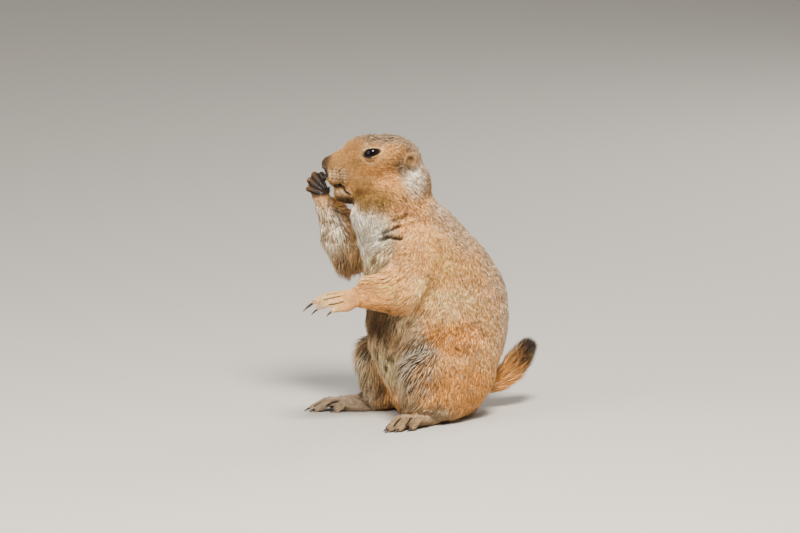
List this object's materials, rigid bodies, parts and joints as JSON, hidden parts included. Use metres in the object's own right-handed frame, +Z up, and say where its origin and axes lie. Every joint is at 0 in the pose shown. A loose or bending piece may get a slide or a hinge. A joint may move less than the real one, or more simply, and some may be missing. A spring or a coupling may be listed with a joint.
{
  "type": "prairie dog",
  "caption": "Life-size still model of a black-tailed prairie dog sitting up on its haunches to feed, with one forepaw raised to the mouth, the other held forward, and a short bushy tail.",
  "frame": {"origin": "on the floor the animal sits on, under the middle of its bounding box", "axes": "+Z up from the floor, -Y the way the trunk faces, +X to the animal's own left"},
  "size_m": [0.1198, 0.2216, 0.228],
  "materials": {
    "fur_buff": "short cinnamon-buff fur, matt",
    "fur_cream": "short cream-buff fur, matt",
    "fur_tail": "longer coarse fur, orange-buff at the root and blackish brown at the tip",
    "nose_skin": "bare dark grey skin, faintly moist",
    "claw": "black horn, semi-gloss",
    "eye": "wet black, high gloss"
  },
  "bodies": {
    "root": {"head": "fur_buff", "nose": "nose_skin", "ear_left": "fur_buff", "ear_right": "fur_buff", "eye_left": "eye", "eye_right": "eye", "neck": "fur_buff", "chest": "fur_buff", "belly": "fur_buff", "tail": "fur_tail", "upper_arm_left": "fur_buff", "forearm_left": "fur_buff", "hand_left": "fur_cream", "claw_thumb_left": "claw", "claw_finger_2_left": "claw", "claw_finger_3_left": "claw", "claw_finger_4_left": "claw", "claw_finger_5_left": "claw", "thigh_left": "fur_buff", "shin_left": "fur_cream", "foot_left": "fur_cream", "claw_toe_1_left": "claw", "claw_toe_2_left": "claw", "claw_toe_3_left": "claw", "claw_toe_4_left": "claw", "claw_toe_5_left": "claw", "upper_arm_right": "fur_buff", "forearm_right": "fur_buff", "hand_right": "fur_cream", "claw_thumb_right": "claw", "claw_finger_2_right": "claw", "claw_finger_3_right": "claw", "claw_finger_4_right": "claw", "claw_finger_5_right": "claw", "thigh_right": "fur_buff", "shin_right": "fur_cream", "foot_right": "fur_cream", "claw_toe_1_right": "claw", "claw_toe_2_right": "claw", "claw_toe_3_right": "claw", "claw_toe_4_right": "claw", "claw_toe_5_right": "claw"}
  },
  "joints": []
}
